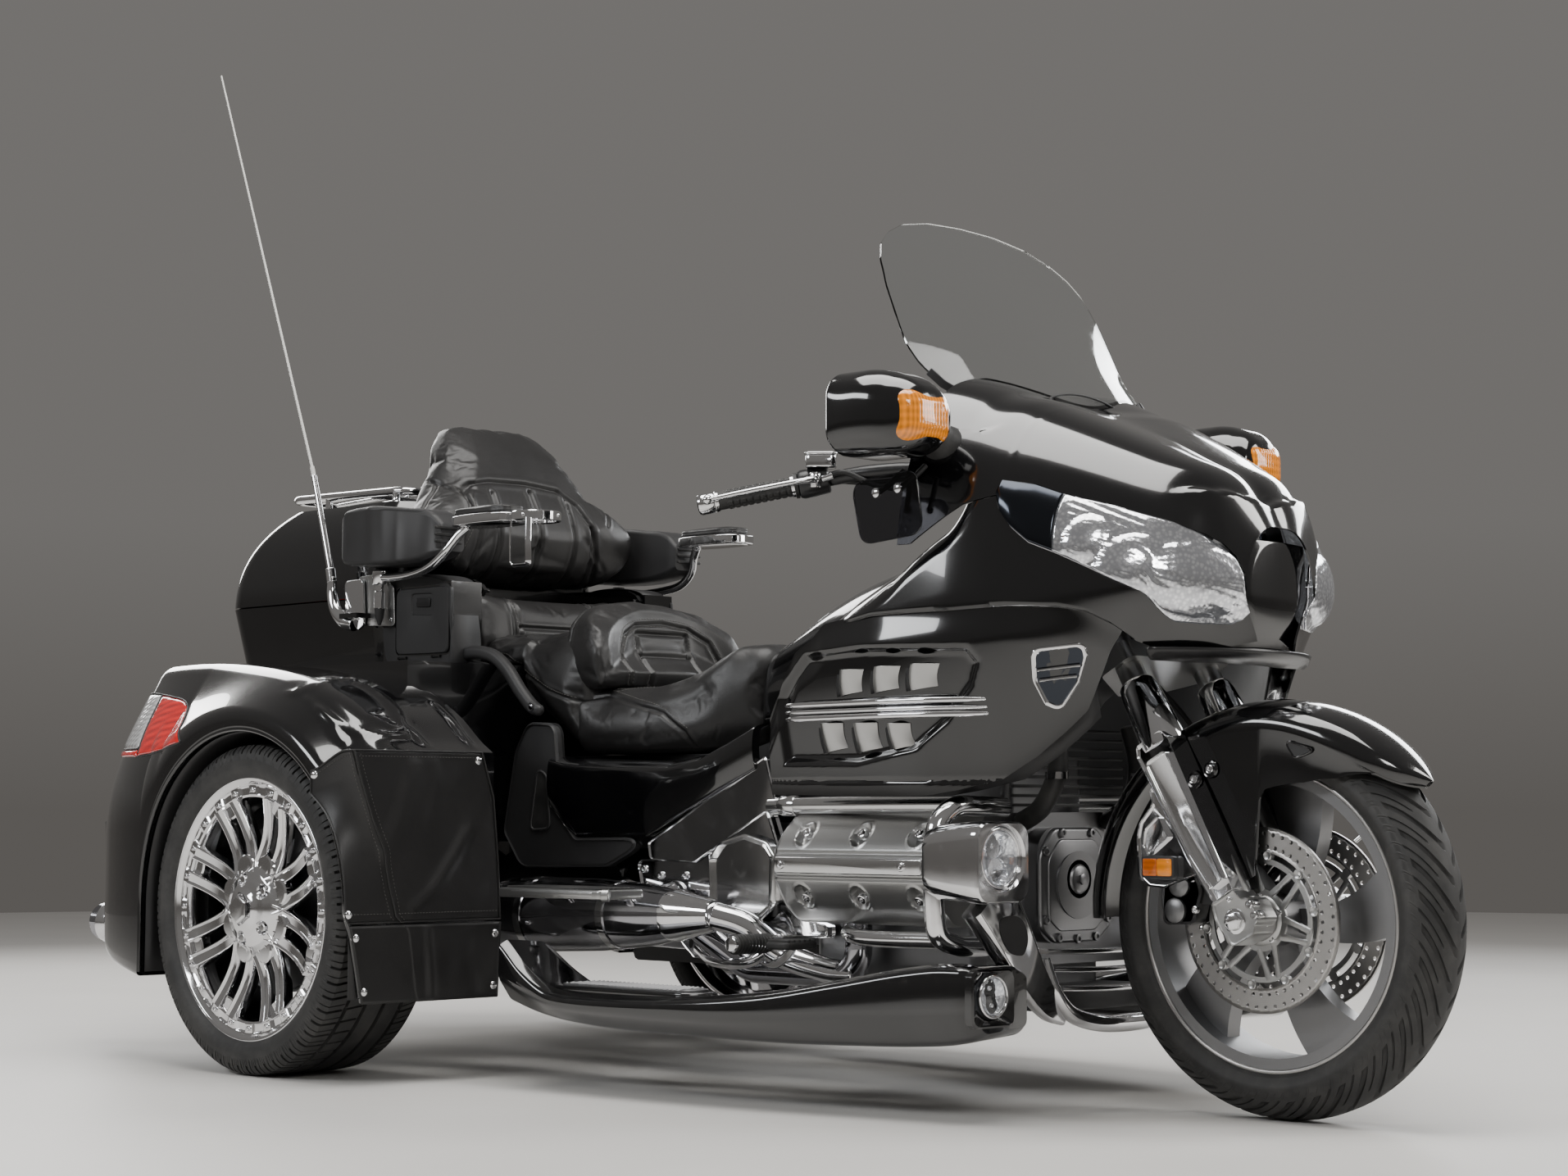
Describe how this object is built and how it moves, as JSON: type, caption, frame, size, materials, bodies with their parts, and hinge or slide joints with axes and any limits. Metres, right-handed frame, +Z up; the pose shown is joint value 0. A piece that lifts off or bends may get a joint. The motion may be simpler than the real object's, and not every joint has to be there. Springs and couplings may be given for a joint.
{
  "type": "motorized trike",
  "caption": "Three-wheeled touring motorcycle with a full fairing, stepped seat, trunk, wide rear body with hatch, armrests and opening storage.",
  "frame": {"origin": "on the ground under the middle of the overall length and width", "axes": "+X forward, +Y to the rider's left, +Z up"},
  "size_m": [2.9343, 1.5802, 2.12],
  "materials": {
    "amber_lens": "amber lens",
    "black_leather": "black leather with stitched seams",
    "brushed_disc": "ground steel",
    "cast_grey": "grey cast alloy",
    "chrome_plate": "mirror-bright plating",
    "clear_screen": "clear moulded screen",
    "gloss_black_paint": "deep gloss black paint under clear coat",
    "grip_rubber": "ribbed black rubber",
    "headlamp_glass": "clear lamp lens",
    "matte_black_plastic": "fine-grained black plastic",
    "red_lens": "red lens",
    "satin_black_paint": "satin black",
    "satin_silver": "satin silver paint on cast alloy",
    "smoked_screen": "smoked plastic",
    "tyre_rubber": "black tyre rubber"
  },
  "bodies": {
    "chassis": {"main_frame": "satin_black_paint", "rear_axle": "satin_black_paint", "engine": "cast_grey", "cylinder_heads": "satin_silver", "engine_guards": "chrome_plate", "lower_cowl": "chrome_plate", "driving_lamps": "headlamp_glass", "running_boards": "gloss_black_paint", "exhausts": "chrome_plate", "fairing_cowl": "gloss_black_paint", "fairing_sides": "gloss_black_paint", "vent_trims": "chrome_plate", "headlamps": "headlamp_glass", "dashboard": "matte_black_plastic", "windshield": "clear_screen", "mirrors": "gloss_black_paint", "signal_lenses": "amber_lens", "wind_deflectors": "smoked_screen", "top_shelter": "gloss_black_paint", "seat": "black_leather", "grab_rails": "satin_black_paint", "side_covers": "gloss_black_paint", "frame_covers": "chrome_plate", "foot_controls": "chrome_plate", "passenger_boards": "satin_silver", "trunk_body": "gloss_black_paint", "rear_tub": "satin_black_paint", "fenders": "gloss_black_paint", "fender_covers": "black_leather", "tail_lamps": "red_lens", "antenna": "chrome_plate"},
    "steering": {"fork": "chrome_plate", "fork_covers": "chrome_plate", "front_fender": "gloss_black_paint", "brake_calipers": "satin_silver", "handlebar": "satin_black_paint", "grips": "grip_rubber"},
    "front_wheel": {"front_rim": "cast_grey", "front_tyre": "tyre_rubber", "brake_discs": "brushed_disc"},
    "rear_wheel_right": {"rear_rim_right": "chrome_plate", "rear_tyre_right": "tyre_rubber"},
    "rear_wheel_left": {"rear_rim_left": "chrome_plate", "rear_tyre_left": "tyre_rubber"},
    "trunk_lid": {"trunk_lid": "gloss_black_paint", "passenger_backrest": "black_leather", "speaker_pods": "matte_black_plastic", "luggage_rack": "chrome_plate"},
    "armrest_right": {"armrest_right": "black_leather"},
    "armrest_left": {"armrest_left": "black_leather"},
    "pocket_door_right": {"pocket_door_right": "matte_black_plastic"},
    "pocket_door_left": {"pocket_door_left": "matte_black_plastic"},
    "rear_hatch": {"rear_hatch": "gloss_black_paint"}
  },
  "joints": [
    {"name": "steering_turn", "type": "hinge", "parent": "chassis", "child": "steering", "pos_m": [0.80874, 0, 0.8], "axis": [-0.4886, 0, 0.8725], "range_deg": [-35, 35]},
    {"name": "front_wheel_spin", "type": "hinge", "parent": "steering", "child": "front_wheel", "pos_m": [1.14775, 0, 0.3195], "axis": [0, 1, 0], "continuous": true},
    {"name": "rear_wheel_right_spin", "type": "hinge", "parent": "chassis", "child": "rear_wheel_right", "pos_m": [-0.64725, -0.657, 0.309], "axis": [0, 1, 0], "continuous": true},
    {"name": "rear_wheel_left_spin", "type": "hinge", "parent": "chassis", "child": "rear_wheel_left", "pos_m": [-0.64725, 0.657, 0.309], "axis": [0, 1, 0], "continuous": true},
    {"name": "trunk_lid_hinge", "type": "hinge", "parent": "chassis", "child": "trunk_lid", "pos_m": [-0.63925, 0, 0.936], "axis": [0, 1, 0], "range_deg": [0, 50]},
    {"name": "armrest_right_swing", "type": "hinge", "parent": "trunk_lid", "child": "armrest_right", "pos_m": [-0.82725, -0.326, 0.966], "axis": [0, 0, -1], "range_deg": [0, 90]},
    {"name": "armrest_left_swing", "type": "hinge", "parent": "trunk_lid", "child": "armrest_left", "pos_m": [-0.82725, 0.326, 0.966], "axis": [0, 0, 1], "range_deg": [0, 90]},
    {"name": "pocket_door_right_hinge", "type": "hinge", "parent": "chassis", "child": "pocket_door_right", "pos_m": [-0.71625, -0.3037, 0.8], "axis": [1, 0, 0], "range_deg": [0, 80]},
    {"name": "pocket_door_left_hinge", "type": "hinge", "parent": "chassis", "child": "pocket_door_left", "pos_m": [-0.71625, 0.3037, 0.8], "axis": [-1, 0, 0], "range_deg": [0, 80]},
    {"name": "rear_hatch_hinge", "type": "hinge", "parent": "chassis", "child": "rear_hatch", "pos_m": [-1.38425, 0, 0.745], "axis": [0, 1, 0], "range_deg": [0, 80]}
  ]
}
